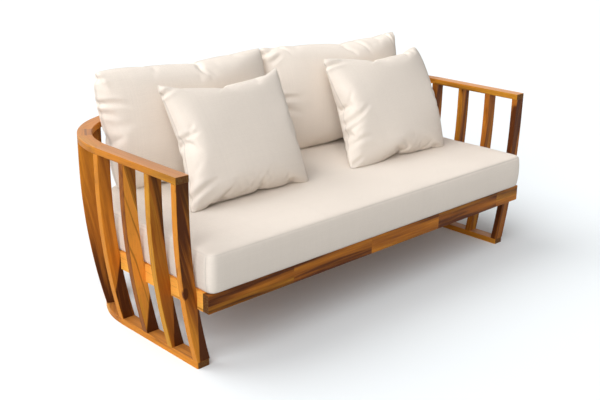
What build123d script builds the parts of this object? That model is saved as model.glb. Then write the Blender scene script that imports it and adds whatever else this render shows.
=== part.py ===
from build123d import *
import math
import os

# Patio loveseat: a bent-slat hardwood frame with a box seat cushion, two back cushions and two pillows.
# Millimetres. +X is the sitter's left-to-right width, -Y is the front, +Z is up.
# The origin is on the floor, in the middle of the whole piece.

# Outer size of the wooden frame
frame_length = 1733.0
frame_depth = 845.0
arm_height = 625.0
corner_radius = 375.0

# Top and base rails, flat boards laid on their broad face
rail_width = 47.0
rail_thickness = 22.0
arm_setback = 54.0
rail_ease = 1.5
base_toe_radius = 6.0
corner_joint_angles = (0, 24, 38, 90)

# Slats, boards on edge that bend inwards below the bend height
slat_width = 46.0
slat_thickness = 24.0
slat_bend_height = 532.0
slat_bend_radius = 2080.0
slat_ease = 1.2
side_slat_shares = (0, 0.325, 0.655, 1)
first_corner_slat_angle = 27
corner_slat_step_angle = 28
corner_slats_on_base = 2
corner_slat_count = 3
back_slat_count = 6
back_slat_end_gap = 99.0

# Seat frame, set in from the outer edge of the top ring on both sides and at the back
seat_inset = 66.5
seat_height = 262.0
seat_rail_height = 60.0
seat_rail_thickness = 26.0
seat_rail_ease = 1.5

# Seat deck: slats on bearers, ledgers and corner blocks
seat_slat_count = 5
seat_slat_width = 95.0
seat_slat_thickness = 18.0
seat_slat_end_gap = 2.0
seat_slat_ease = 2.0
bearer_width = 30.0
bearer_spacing = 534.0
ledger_width = 22.0
ledger_height = 22.0
corner_block_thickness = 20.0

# Fasteners
dowel_diameter = 10.0
dowel_length = 36.0
dowel_depth_in_rail = 14.0
dowel_clearance = 0.1
bolt_diameter = 6.0
bolt_length = 56.0
bolt_head_diameter = 12.0
bolt_head_height = 3.5
bolt_drop = 50.0
bolt_clearance = 0.1
screw_diameter = 4.0
screw_length = 34.0
screw_head_diameter = 8.0
screw_head_height = 2.5

# Clearance between soft pieces and what they rest on
rest_clearance = 0.4

# Seat cushion: a box cushion with a crown and slightly bulging borders
seat_cushion_overhang = 12.0
seat_cushion_seam_height = 125.0
seat_cushion_crown = 12.0
seat_cushion_seam_inset = 5.0
seat_cushion_front_radius = 26.0
crown_inset_steps = (20.0, 55.0, 110.0)
crown_rise_shares = (0.5, 0.86, 1)

# Back cushions: knife-edge cushions with drawn-in sides, pinched corners and a full middle
back_cushion_height = 440.0
back_cushion_front_fullness = 120.0
back_cushion_rear_fullness = 104.0
back_cushion_draw_in = 20.0
back_cushion_corner_radius = 34.0
back_cushion_lean_angle = 3.6
back_cushion_sink = 23.0
back_cushion_middle_from_rail = 114.0
left_back_cushion_gap = 124.5
right_back_cushion_gap = 82.5
back_cushion_parting = 8.0
right_back_cushion_forward = 14.0
right_back_cushion_turn_angle = -4
back_cushion_inset_steps = (5.0, 18.0, 52.0, 104.0, 166.0)
back_cushion_fullness_shares = (0.22, 0.45, 0.7, 0.9, 1)

# Throw pillows: knife-edge pillows that lean back on the seat
pillow_width = 520.0
pillow_height = 450.0
pillow_sink = 8.0
pillow_fullness = 78.0
pillow_draw_in = 22.0
pillow_corner_radius = 14.0
pillow_lean_angle = 34
left_pillow_offset = 4.0
right_pillow_offset = 48.0
left_pillow_foot = 297.0
right_pillow_foot = 282.0
left_pillow_turn_angle = -1
right_pillow_turn_angle = -3
left_pillow_slant_share = 0.135
right_pillow_slant_share = 0.18
pillow_inset_steps = (9.0, 30.0, 66.0, 112.0, 158.0)
pillow_fullness_shares = (0.2, 0.46, 0.74, 0.92, 1)
round_corner_share = 0.35

# Places worked out from the sizes above
half_length = frame_length / 2
front_y = -(frame_depth - seat_cushion_overhang) / 2
rear_y = front_y + frame_depth
arm_front_y = front_y + arm_setback
corner_x = half_length - corner_radius
corner_y = rear_y - corner_radius
slat_top = arm_height - rail_thickness
seat_frame_length = frame_length - 2 * seat_inset
seat_corner_radius = corner_radius - seat_inset
seat_underside = seat_height - seat_rail_height
seat_inner_x = seat_frame_length / 2 - seat_rail_thickness
seat_inner_radius = seat_corner_radius - seat_rail_thickness
deck_underside = seat_height - seat_slat_thickness
back_slat_pitch = 2 * (corner_x - back_slat_end_gap) / (back_slat_count - 1)
ring_inner_x = half_length - rail_width
back_cushion_run = 2 * ring_inner_x - left_back_cushion_gap - right_back_cushion_gap
back_cushion_width = (back_cushion_run - back_cushion_parting) / 2
left_back_cushion_place = -ring_inner_x + left_back_cushion_gap + back_cushion_width / 2
right_back_cushion_place = ring_inner_x - right_back_cushion_gap - back_cushion_width / 2
left_pillow_place = left_back_cushion_place + left_pillow_offset
right_pillow_place = right_back_cushion_place + right_pillow_offset
corner_slat_angles = [first_corner_slat_angle + corner_slat_step_angle * step for step in range(corner_slat_count)]
sides = (("left", -1), ("right", 1))

os.makedirs("parts", exist_ok=True)


def lean_in(height, radius=slat_bend_radius):
    """How far a slat's edge stands inside its top end at a height above the floor."""
    drop = max(slat_bend_height - height, 0)
    head_drop = max(slat_bend_height - slat_top, 0)
    return math.sqrt(radius**2 - head_drop**2) - math.sqrt(radius**2 - drop**2)


base_inset = lean_in(rail_thickness)
base_radius = corner_radius - base_inset


def corner_outward(side, angle):
    """The horizontal direction that points out of a corner, from the side (0) to the back (90)."""
    return (side * math.cos(math.radians(angle)), math.sin(math.radians(angle)))


def corner_point(side, angle, radius):
    """A point round a rear corner, in plan."""
    outward = corner_outward(side, angle)
    return (side * corner_x + radius * outward[0], corner_y + radius * outward[1])


def radial_plane(point, outward, height=0):
    """An upright plane through a point of the outline: local X runs inwards, local Y runs up."""
    inward = (-outward[0], -outward[1])
    return Plane(origin=(point[0], point[1], height), x_dir=(inward[0], inward[1], 0), z_dir=(inward[1], -inward[0], 0))


def write(name, part):
    """Label a finished piece and save it under its own name."""
    part.label = name
    export_step(part, f"parts/{name}.step")


# Where every slat stands: its name, the point of the outline, the way out, and whether it reaches the floor
slat_places = []
side_run = corner_y - slat_thickness / 2 - arm_front_y
for side_name, side in sides:
    for number, share in enumerate(side_slat_shares, start=1):
        slat_y = arm_front_y + slat_thickness / 2 + side_run * share
        slat_places.append((f"side_slat_{side_name}_{number}", (side * half_length, slat_y), (side, 0), True))
    for number, angle in enumerate(corner_slat_angles, start=1):
        point = corner_point(side, angle, corner_radius)
        to_floor = number <= corner_slats_on_base
        slat_places.append((f"corner_slat_{side_name}_{number}", point, corner_outward(side, angle), to_floor))
for number in range(1, back_slat_count + 1):
    slat_x = (number - (back_slat_count + 1) / 2) * back_slat_pitch
    slat_places.append((f"back_slat_{number}", (slat_x, rear_y), (0, 1), False))

# Centres of the dowels: one in the head of every slat, one in the foot of those that reach the floor
dowel_centres = []
dowel_rise = dowel_length / 2 - dowel_depth_in_rail
for name, point, outward, to_floor in slat_places:
    head_inset = slat_width / 2
    dowel_centres.append((point[0] - outward[0] * head_inset, point[1] - outward[1] * head_inset, slat_top - dowel_rise))
    if to_floor:
        foot_inset = lean_in(rail_thickness + dowel_rise) + slat_width / 2
        foot = (point[0] - outward[0] * foot_inset, point[1] - outward[1] * foot_inset)
        dowel_centres.append((foot[0], foot[1], rail_thickness + dowel_rise))

# Planes of the bolts: each starts on the seat frame's inner face and runs outwards into a slat
bolt_height = seat_height - bolt_drop
bolt_places = []
for name, point, outward, to_floor in slat_places:
    depth = seat_inset + seat_rail_thickness
    origin = (point[0] - outward[0] * depth, point[1] - outward[1] * depth, bolt_height)
    bolt_places.append(Plane(origin=origin, z_dir=(outward[0], outward[1], 0)).location)

# Dowels and the holes they are glued into
with BuildPart() as rail_dowels:
    with Locations(*dowel_centres):
        Cylinder(dowel_diameter / 2, dowel_length)
write("rail_dowels", rail_dowels.part)

with BuildPart() as dowel_holes:
    with Locations(*dowel_centres):
        Cylinder(dowel_diameter / 2 + dowel_clearance, dowel_length + 2 * dowel_clearance)

# Bolts with low round heads, and the holes they pass through
with BuildPart() as seat_bolts:
    with Locations(*bolt_places):
        Cylinder(bolt_diameter / 2, bolt_length, align=(Align.CENTER, Align.CENTER, Align.MIN))
        Cylinder(bolt_head_diameter / 2, bolt_head_height, align=(Align.CENTER, Align.CENTER, Align.MAX))
write("seat_bolts", seat_bolts.part)

with BuildPart() as bolt_holes:
    with Locations(*bolt_places):
        Cylinder(
            bolt_diameter / 2 + bolt_clearance,
            bolt_length + bolt_clearance,
            align=(Align.CENTER, Align.CENTER, Align.MIN),
        )
        Cylinder(
            bolt_head_diameter / 2 + bolt_clearance,
            bolt_head_height,
            align=(Align.CENTER, Align.CENTER, Align.MAX),
        )

# Arm rails, straight from the front end to the start of the corner
for side_name, side in sides:
    with BuildPart() as arm_rail:
        with BuildSketch(Plane.XY.offset(slat_top)):
            with Locations((side * (half_length - rail_width / 2), (arm_front_y + corner_y) / 2)):
                Rectangle(rail_width, corner_y - arm_front_y)
        extrude(amount=rail_thickness)
        fillet(arm_rail.edges().filter_by(Axis.Y), rail_ease)
        fillet(arm_rail.faces().sort_by(Axis.Y)[0].edges().filter_by(Axis.Z), rail_ease)
        add(dowel_holes.part, mode=Mode.SUBTRACT)
    write(f"arm_rail_{side_name}", arm_rail.part)


def ring_block(side, start, end, radius, width, floor, height, ease):
    """One curved block of a rail, between two angles round a corner."""
    middle = (start + end) / 2
    with BuildPart() as block:
        with BuildSketch(Plane.XY.offset(floor)):
            with BuildLine():
                outer = [corner_point(side, angle, radius) for angle in (start, middle, end)]
                inner = [corner_point(side, angle, radius - width) for angle in (start, middle, end)]
                ThreePointArc(*outer)
                Line(outer[2], inner[2])
                ThreePointArc(*reversed(inner))
                Line(inner[0], outer[0])
            make_face()
        extrude(amount=height)
        fillet(block.edges().filter_by(GeomType.CIRCLE), ease)
        add(dowel_holes.part, mode=Mode.SUBTRACT)
        add(bolt_holes.part, mode=Mode.SUBTRACT)
    return block.part


# Corner rails of the top ring, three glued blocks a side
for side_name, side in sides:
    for number, (start, end) in enumerate(zip(corner_joint_angles, corner_joint_angles[1:]), start=1):
        corner_rail = ring_block(side, start, end, corner_radius, rail_width, slat_top, rail_thickness, rail_ease)
        write(f"corner_rail_{side_name}_{number}", corner_rail)

# Back rail of the top ring
with BuildPart() as back_rail:
    with BuildSketch(Plane.XY.offset(slat_top)):
        with Locations((0, rear_y - rail_width / 2)):
            Rectangle(2 * corner_x, rail_width)
    extrude(amount=rail_thickness)
    fillet(back_rail.edges().filter_by(Axis.X), rail_ease)
    add(dowel_holes.part, mode=Mode.SUBTRACT)
write("back_rail", back_rail.part)

# Base rails on the floor, under the side slats
for side_name, side in sides:
    base_outer_x = half_length - base_inset
    with BuildPart() as base_rail:
        with BuildSketch():
            with Locations((side * (base_outer_x - rail_width / 2), (arm_front_y + corner_y) / 2)):
                Rectangle(rail_width, corner_y - arm_front_y)
        extrude(amount=rail_thickness)
        fillet(base_rail.faces().sort_by(Axis.Y)[0].edges().filter_by(Axis.Z), base_toe_radius)
        fillet(base_rail.faces().sort_by(Axis.Z)[-1].edges().filter_by(Axis.Y), rail_ease)
        add(dowel_holes.part, mode=Mode.SUBTRACT)
    write(f"base_rail_{side_name}", base_rail.part)

# Base corners, which end flush with the second corner slat
base_end_angle = corner_slat_angles[corner_slats_on_base - 1] + math.degrees(
    math.atan2(slat_thickness / 2, base_radius - rail_width / 2)
)
for side_name, side in sides:
    base_corner = ring_block(side, 0, base_end_angle, base_radius, rail_width, 0, rail_thickness, rail_ease)
    write(f"base_corner_{side_name}", base_corner)

# Seat front rail, full length, across the ends of the side rails
with BuildPart() as seat_front_rail:
    with BuildSketch(Plane.XY.offset(seat_underside)):
        with Locations((0, front_y + seat_rail_thickness / 2)):
            Rectangle(seat_frame_length, seat_rail_thickness)
    extrude(amount=seat_rail_height)
    fillet(seat_front_rail.edges().filter_by(Axis.X), seat_rail_ease)
    fillet(seat_front_rail.faces().sort_by(Axis.Y)[0].edges().filter_by(Axis.Z), seat_rail_ease)
write("seat_front_rail", seat_front_rail.part)

# Seat side rails
side_rail_start = front_y + seat_rail_thickness
for side_name, side in sides:
    with BuildPart() as seat_side_rail:
        with BuildSketch(Plane.XY.offset(seat_underside)):
            rail_x = side * (seat_frame_length - seat_rail_thickness) / 2
            with Locations((rail_x, (side_rail_start + corner_y) / 2)):
                Rectangle(seat_rail_thickness, corner_y - side_rail_start)
        extrude(amount=seat_rail_height)
        fillet(seat_side_rail.edges().filter_by(Axis.Y), seat_rail_ease)
        add(bolt_holes.part, mode=Mode.SUBTRACT)
    write(f"seat_side_rail_{side_name}", seat_side_rail.part)

# Seat corner rails, curved inside the corner slats
for side_name, side in sides:
    seat_corner_rail = ring_block(
        side, 0, 90, seat_corner_radius, seat_rail_thickness, seat_underside, seat_rail_height, seat_rail_ease
    )
    write(f"seat_corner_rail_{side_name}", seat_corner_rail)

# Seat back rail
seat_back_y = rear_y - seat_inset
with BuildPart() as seat_back_rail:
    with BuildSketch(Plane.XY.offset(seat_underside)):
        with Locations((0, seat_back_y - seat_rail_thickness / 2)):
            Rectangle(2 * corner_x, seat_rail_thickness)
    extrude(amount=seat_rail_height)
    fillet(seat_back_rail.edges().filter_by(Axis.X), seat_rail_ease)
    add(bolt_holes.part, mode=Mode.SUBTRACT)
write("seat_back_rail", seat_back_rail.part)

# The seat frame's outline as one solid, which houses the slats' inner edges
with BuildPart() as seat_housing:
    with BuildSketch(Plane.XY.offset(seat_underside)):
        with BuildLine():
            left_arc = [corner_point(-1, angle, seat_corner_radius) for angle in (0, 45, 90)]
            right_arc = [corner_point(1, angle, seat_corner_radius) for angle in (90, 45, 0)]
            half = seat_frame_length / 2
            Line((-half, front_y), left_arc[0])
            ThreePointArc(*left_arc)
            Line(left_arc[2], right_arc[0])
            ThreePointArc(*right_arc)
            Line(right_arc[2], (half, front_y))
            Line((half, front_y), (-half, front_y))
        make_face()
    extrude(amount=seat_rail_height)


def curved_slat(point, outward, bottom):
    """A slat with a straight head and a foot that bends inwards, trimmed level at the bottom height."""
    inner_radius = slat_bend_radius - slat_width
    with BuildPart() as slat:
        with BuildSketch(radial_plane(point, outward)):
            with BuildLine():
                bend_start = min(slat_bend_height, slat_top)
                middle = (bottom + bend_start) / 2
                outer_foot = (lean_in(bottom), bottom)
                inner_foot = (slat_width + lean_in(bottom, inner_radius), bottom)
                ThreePointArc((0, bend_start), (lean_in(middle), middle), outer_foot)
                Line(outer_foot, inner_foot)
                inner_middle = (slat_width + lean_in(middle, inner_radius), middle)
                ThreePointArc(inner_foot, inner_middle, (slat_width, bend_start))
                if bend_start < slat_top:
                    Line((slat_width, bend_start), (slat_width, slat_top))
                    Line((0, slat_top), (0, bend_start))
                Line((slat_width, slat_top), (0, slat_top))
            make_face()
        extrude(amount=slat_thickness / 2, both=True)
        long_edges = slat.edges().filter_by_position(Axis.Z, bottom + slat_ease, slat_top - slat_ease)
        chamfer(long_edges, slat_ease)
        add(seat_housing.part, mode=Mode.SUBTRACT)
        add(dowel_holes.part, mode=Mode.SUBTRACT)
        add(bolt_holes.part, mode=Mode.SUBTRACT)
    return slat.part


# Side, corner and back slats
for name, point, outward, to_floor in slat_places:
    write(name, curved_slat(point, outward, rail_thickness if to_floor else seat_underside))

# Seat slats run the length of the seat, with even gaps from front to back
seat_back_inner_y = seat_back_y - seat_rail_thickness
deck_depth = seat_back_inner_y - side_rail_start
seat_slat_gap = (deck_depth - seat_slat_count * seat_slat_width) / (seat_slat_count + 1)


def seat_slat_middle(number):
    """The middle of a seat slat, counted from the front."""
    return side_rail_start + number * (seat_slat_gap + seat_slat_width) - seat_slat_width / 2


def seat_slat_half_length(number):
    """Half a seat slat's length: to the side rails, or to the curve of the corners where it is behind them."""
    rear_edge = seat_slat_middle(number) + seat_slat_width / 2
    behind = max(rear_edge - corner_y, 0)
    return corner_x + math.sqrt(seat_inner_radius**2 - behind**2) - seat_slat_end_gap


def screw_places():
    """Screws down through every seat slat into the bearers and into what carries the slat's ends."""
    places = []
    for number in range(1, seat_slat_count + 1):
        y = seat_slat_middle(number)
        end_x = seat_slat_half_length(number) - (ledger_width - seat_slat_end_gap) / 2
        for x in (-end_x, -bearer_spacing / 2, bearer_spacing / 2, end_x):
            places.append((x, y, seat_height))
    return places


# Countersunk screws, heads flush with the slats
with BuildPart() as slat_screws:
    with Locations(*screw_places()):
        Cylinder(screw_diameter / 2, screw_length, align=(Align.CENTER, Align.CENTER, Align.MAX))
        Cone(
            screw_diameter / 2,
            screw_head_diameter / 2,
            screw_head_height,
            align=(Align.CENTER, Align.CENTER, Align.MAX),
        )
write("slat_screws", slat_screws.part)

# Cross bearers under the seat slats, from the front rail to the back rail
bearer_height = deck_underside - seat_underside
for side_name, side in sides:
    with BuildPart() as cross_bearer:
        with BuildSketch(Plane.XY.offset(seat_underside)):
            with Locations((side * bearer_spacing / 2, (side_rail_start + seat_back_inner_y) / 2)):
                Rectangle(bearer_width, seat_back_inner_y - side_rail_start)
        extrude(amount=bearer_height)
        add(slat_screws.part, mode=Mode.SUBTRACT)
    write(f"cross_bearer_{side_name}", cross_bearer.part)

# Side ledgers, screwed inside the side rails
for side_name, side in sides:
    with BuildPart() as side_ledger:
        with BuildSketch(Plane.XY.offset(deck_underside - ledger_height)):
            with Locations((side * (seat_inner_x - ledger_width / 2), (side_rail_start + corner_y) / 2)):
                Rectangle(ledger_width, corner_y - side_rail_start)
        extrude(amount=ledger_height)
        add(slat_screws.part, mode=Mode.SUBTRACT)
    write(f"side_ledger_{side_name}", side_ledger.part)

# Corner blocks, plates that fill the seat's rear corners behind a straight chord
for side_name, side in sides:
    with BuildPart() as corner_block:
        with BuildSketch(Plane.XY.offset(deck_underside - corner_block_thickness)):
            with BuildLine():
                arc = [corner_point(side, angle, seat_inner_radius) for angle in (0, 45, 90)]
                ThreePointArc(*arc)
                Line(arc[2], arc[0])
            make_face()
        extrude(amount=corner_block_thickness)
        add(slat_screws.part, mode=Mode.SUBTRACT)
    write(f"corner_block_{side_name}", corner_block.part)

# Seat slats, their long edges eased
for number in range(1, seat_slat_count + 1):
    with BuildPart() as seat_slat:
        with BuildSketch(Plane.XY.offset(deck_underside)):
            with Locations((0, seat_slat_middle(number))):
                Rectangle(2 * seat_slat_half_length(number), seat_slat_width)
        extrude(amount=seat_slat_thickness)
        fillet(seat_slat.faces().sort_by(Axis.Z)[-1].edges().filter_by(Axis.X), seat_slat_ease)
        add(slat_screws.part, mode=Mode.SUBTRACT)
    write(f"seat_slat_{number}", seat_slat.part)


def seat_outline(height, inset):
    """The seat cushion's plan, with small front corners and rear corners that follow the frame."""
    half = seat_frame_length / 2 - inset
    front = front_y - seat_cushion_overhang + inset
    rear_radius = seat_corner_radius - inset
    radius = seat_cushion_front_radius
    near = radius * (1 - math.cos(math.radians(45)))
    left_arc = [corner_point(-1, angle, rear_radius) for angle in (0, 45, 90)]
    right_arc = [corner_point(1, angle, rear_radius) for angle in (90, 45, 0)]
    with BuildSketch(Plane.XY.offset(height)) as outline:
        with BuildLine():
            Line((-half, front + radius), left_arc[0])
            ThreePointArc(*left_arc)
            Line(left_arc[2], right_arc[0])
            ThreePointArc(*right_arc)
            Line(right_arc[2], (half, front + radius))
            ThreePointArc((half, front + radius), (half - near, front + near), (half - radius, front))
            Line((half - radius, front), (-half + radius, front))
            ThreePointArc((-half + radius, front), (-half + near, front + near), (-half, front + radius))
        make_face()
    return outline.sketch


# Seat cushion: bulging borders between two seams, then a crown
seat_cushion_bottom = seat_height + rest_clearance
seat_seam_top = seat_cushion_bottom + seat_cushion_seam_height
seam_inset = seat_cushion_seam_inset
border = [
    seat_outline(seat_cushion_bottom, seam_inset),
    seat_outline(seat_cushion_bottom + seat_cushion_seam_height / 2, 0),
    seat_outline(seat_seam_top, seam_inset),
]
crown = [seat_outline(seat_seam_top, seam_inset)]
for inset, rise_share in zip(crown_inset_steps, crown_rise_shares):
    crown.append(seat_outline(seat_seam_top + seat_cushion_crown * rise_share, seam_inset + inset))
with BuildPart() as seat_cushion:
    loft(border)
    loft(crown)
write("seat_cushion", seat_cushion.part)

# Height that the back cushions and the pillows rest at
cushion_rest = seat_seam_top + seat_cushion_crown + rest_clearance


def drawn_outline(plane, width, height, draw_in, radius, slant_share):
    """A cushion's face outline: sides that draw in between rounded corners, slumped sideways by a slant."""
    x = width / 2
    y = height / 2
    near = radius * (1 - math.cos(math.radians(45)))
    arcs = (
        ((-x + radius, y), (0, y - draw_in), (x - radius, y)),
        ((x - radius, y), (x - near, y - near), (x, y - radius)),
        ((x, y - radius), (x - draw_in, 0), (x, -y + radius)),
        ((x, -y + radius), (x - near, -y + near), (x - radius, -y)),
        ((x - radius, -y), (0, -y + draw_in), (-x + radius, -y)),
        ((-x + radius, -y), (-x + near, -y + near), (-x, -y + radius)),
        ((-x, -y + radius), (-x + draw_in, 0), (-x, y - radius)),
        ((-x, y - radius), (-x + near, y - near), (-x + radius, y)),
    )
    with BuildSketch(plane) as outline:
        with BuildLine():
            for arc in arcs:
                ThreePointArc(*[(across + slant_share * up, up) for across, up in arc])
        make_face()
    return outline.sketch


def cushion_plane(x, y, z, turn, lean):
    """A cushion's seam plane: local X across, local Y up its face, local Z out of its front."""
    upright = Plane(origin=(x, y, z), x_dir=(1, 0, 0), z_dir=(0, -1, 0))
    return upright.rotated((-lean, 0, 0)).rotated((0, 0, turn))


def knife_edge_cushion(plane, size, draw_in, radius, insets, shares, front, rear, slant_share):
    """A cushion with one seam round its edge and a crown on both faces, cut flat where it rests."""
    width, height = size
    with BuildPart() as cushion:
        for fullness in (front, -rear):
            sections = [drawn_outline(plane, width, height, draw_in, radius, slant_share)]
            for inset, share in zip(insets, shares):
                layer = plane.offset(fullness * share)
                layer_draw_in = draw_in * (1 - 2 * inset / height)
                layer_radius = min(radius + inset / 2, (height - 2 * inset) * round_corner_share)
                layer_size = (width - 2 * inset, height - 2 * inset)
                sections.append(drawn_outline(layer, *layer_size, layer_draw_in, layer_radius, slant_share))
            loft(sections)
        split(bisect_by=Plane.XY.offset(cushion_rest), keep=Keep.TOP)
    return cushion.part


# Back cushions, resting on the seat cushion and leaning on the back rail
back_middle_y = rear_y - rail_width - back_cushion_middle_from_rail
back_middle_rise = back_cushion_height / 2 * math.cos(math.radians(back_cushion_lean_angle)) - back_cushion_sink
back_cushions = (
    ("back_cushion_left", left_back_cushion_place, back_middle_y, 0),
    (
        "back_cushion_right",
        right_back_cushion_place,
        back_middle_y - right_back_cushion_forward,
        right_back_cushion_turn_angle,
    ),
)
for name, x, y, turn in back_cushions:
    back_cushion = knife_edge_cushion(
        cushion_plane(x, y, cushion_rest + back_middle_rise, turn, back_cushion_lean_angle),
        (back_cushion_width, back_cushion_height),
        back_cushion_draw_in,
        back_cushion_corner_radius,
        back_cushion_inset_steps,
        back_cushion_fullness_shares,
        back_cushion_front_fullness,
        back_cushion_rear_fullness,
        0,
    )
    write(name, back_cushion)

# Throw pillows, their lower edges on the seat
pillow_rise = pillow_height / 2 * math.cos(math.radians(pillow_lean_angle)) - pillow_sink
pillow_reach = pillow_height / 2 * math.sin(math.radians(pillow_lean_angle))
pillows = (
    (
        "throw_pillow_left",
        left_pillow_place,
        left_pillow_foot,
        left_pillow_turn_angle,
        left_pillow_slant_share,
    ),
    (
        "throw_pillow_right",
        right_pillow_place,
        right_pillow_foot,
        right_pillow_turn_angle,
        right_pillow_slant_share,
    ),
)
for name, x, foot, turn, slant_share in pillows:
    throw_pillow = knife_edge_cushion(
        cushion_plane(x, front_y + foot + pillow_reach, cushion_rest + pillow_rise, turn, pillow_lean_angle),
        (pillow_width, pillow_height),
        pillow_draw_in,
        pillow_corner_radius,
        pillow_inset_steps,
        pillow_fullness_shares,
        pillow_fullness,
        pillow_fullness,
        slant_share,
    )
    write(name, throw_pillow)
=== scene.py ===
import math

import bmesh
import bpy
from bpy.props import FloatProperty, FloatVectorProperty, PointerProperty
from bpy.types import Operator, Panel, PropertyGroup
from mathutils import Matrix, Vector, noise


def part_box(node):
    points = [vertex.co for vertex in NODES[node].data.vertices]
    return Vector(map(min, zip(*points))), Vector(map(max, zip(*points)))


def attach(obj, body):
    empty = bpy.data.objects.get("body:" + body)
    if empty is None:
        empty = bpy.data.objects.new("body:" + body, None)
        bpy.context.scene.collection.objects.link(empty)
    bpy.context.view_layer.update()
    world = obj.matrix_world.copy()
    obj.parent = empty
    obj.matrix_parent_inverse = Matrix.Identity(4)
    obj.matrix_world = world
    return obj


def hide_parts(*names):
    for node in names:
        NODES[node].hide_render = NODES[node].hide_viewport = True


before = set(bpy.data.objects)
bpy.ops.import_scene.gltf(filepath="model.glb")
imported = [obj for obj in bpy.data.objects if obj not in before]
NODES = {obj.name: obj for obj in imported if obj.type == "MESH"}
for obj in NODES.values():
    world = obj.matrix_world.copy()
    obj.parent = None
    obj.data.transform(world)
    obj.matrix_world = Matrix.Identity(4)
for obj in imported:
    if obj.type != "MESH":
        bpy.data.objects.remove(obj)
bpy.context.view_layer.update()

bl_info = {
    "name": "Patio Loveseat",
    "version": (1, 0, 0),
    "blender": (4, 5, 0),
    "location": "View3D > Sidebar > Loveseat",
    "description": "Finishes the frame of a patio loveseat and makes its cushions and throw pillows",
    "category": "Object",
}

# The ways along the loveseat's width, back from its front, and up
WIDE = Vector((1.0, 0.0, 0.0))
DEEP = Vector((0.0, 1.0, 0.0))
HIGH = Vector((0.0, 0.0, 1.0))

# The photograph's width in pixels, the sensor width that the lens is given for, and how far the camera sees
PHOTO_WIDTH = 600
SENSOR_WIDTH = 36.0
VIEW_REACH = 200.0


def length_value(name, description, default):
    """A setting that is a length."""
    return FloatProperty(name=name, description=description, unit="LENGTH", default=default)


def angle_value(name, description, default):
    """A setting that is an angle."""
    return FloatProperty(name=name, description=description, subtype="ANGLE", default=default)


def level_value(name, description, default):
    """A setting that is a strength or a share."""
    return FloatProperty(name=name, description=description, min=0.0, default=default)


def colour_value(name, description, default):
    """A setting that is a colour."""
    return FloatVectorProperty(name=name, description=description, subtype="COLOR", default=default)


def way_value(name, description, default):
    """A setting that is a direction."""
    return FloatVectorProperty(name=name, description=description, subtype="DIRECTION", default=default)


class LoveseatStageSettings(PropertyGroup):
    camera_place: FloatVectorProperty(
        name="Camera place", description="Where the camera stands", subtype="TRANSLATION", unit="LENGTH",
        default=(-2.30334, -2.33906, 1.39292))
    camera_turn: angle_value("Camera turn", "Compass angle of the view from the +Y axis", 0.77129)
    camera_dip: angle_value("Camera dip", "How far the view looks down", 0.32921)
    camera_roll: angle_value("Camera roll", "How far the camera is tilted about its view", 0.016909)
    focal_pixels: level_value("Focal length", "Focal length in pixels of the photograph", 913.14)
    floor_tone: colour_value("Floor", "Colour of the floor", (0.845, 0.88, 0.90))
    floor_bounce: colour_value("Floor bounce", "Colour of the light that it passes on", (0.565, 0.585, 0.59))
    floor_size: length_value("Floor size", "Length of the floor's sides", 60.0)
    floor_lift: level_value("Floor white", "Light the floor adds for the camera alone", 0.035)
    sky_level: level_value("Sky light", "Strength of the even light from all round", 0.26)
    sky_rim: level_value("Sky rim", "Share of the even light that the horizon gives", 0.4)
    sky_top: level_value("Sky top", "Share of the even light that the zenith gives", 1.1)
    key_level: level_value("Key light", "Strength of the soft light from the left and the front", 2.45)
    key_way: way_value("Key way", "The way towards the key light", (-0.9, -0.5, 0.75))
    rear_level: level_value("Rear light", "Strength of the soft light from behind", 2.1)
    rear_way: way_value("Rear way", "The way towards the rear light", (-0.5, 0.6, 0.8))
    light_spread: angle_value("Light spread", "Angle over which each light is spread", math.radians(55))


class LoveseatWoodSettings(PropertyGroup):
    light_tone: colour_value("Light wood", "Colour of the lightest strips", (0.64, 0.235, 0.024))
    middle_tone: colour_value("Middle wood", "Colour of the ordinary wood", (0.335, 0.105, 0.013))
    dark_tone: colour_value("Dark wood", "Colour of the darkest figure", (0.083, 0.021, 0.004))
    # The pale tone painted on faces turned upwards as their sheen
    painted_sheen_tone: colour_value("Sheen painted on wood", "Colour of the sheen painted on faces turned upwards", (0.66, 0.43, 0.30))
    gloss: level_value("Gloss", "Specular level of the oiled wood", 0.09)


class LoveseatClothSettings(PropertyGroup):
    cloth_tone: colour_value("Cloth", "Colour of the cloth's threads", (0.86, 0.775, 0.69))
    shade_tone: colour_value("Gaps", "Colour between the threads", (0.66, 0.57, 0.48))
    thread_pitch: length_value("Thread pitch", "Distance between threads", 0.0011)


class LoveseatPillowSettings(PropertyGroup):
    width: length_value("Width", "Width of a throw pillow", 0.520)
    height: length_value("Height", "Height of a throw pillow", 0.450)
    fullness: length_value("Fullness", "Half the thickness of a throw pillow", 0.078)
    cell: length_value("Cell", "Size of the cloth's cells", 0.0085)


class LoveseatBackSettings(PropertyGroup):
    width: length_value("Width", "Width of a back cushion", 0.716)
    height: length_value("Height", "Height of a back cushion", 0.434)
    front_fullness: length_value("Front fullness", "Depth in front of the seam", 0.120)
    rear_fullness: length_value("Rear fullness", "Depth behind the seam", 0.104)
    cell: length_value("Cell", "Size of the cloth's cells", 0.010)


class LoveseatSeatSettings(PropertyGroup):
    cell: length_value("Cell", "Size of the cloth's cells", 0.007)
    seam_height: length_value("Seam height", "Height of the border between its two seams", 0.125)
    seam_depth: length_value("Seam depth", "How far the seams pull in", 0.0013)
    front_radius: length_value("Front radius", "Radius of the front corners in plan", 0.026)


def fold(start, end, depth, width, bow=0.0):
    """Names the sizes of a pressed fold, which starts deep and fades out towards its end."""
    return {"start": Vector(start), "end": Vector(end), "depth": depth, "width": width, "bow": bow}


# The leaning cushions rest this far above the seat cushion's crown
REST_GAP = 0.0004
REST_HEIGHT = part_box("seat_cushion")[1].z + REST_GAP

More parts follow.
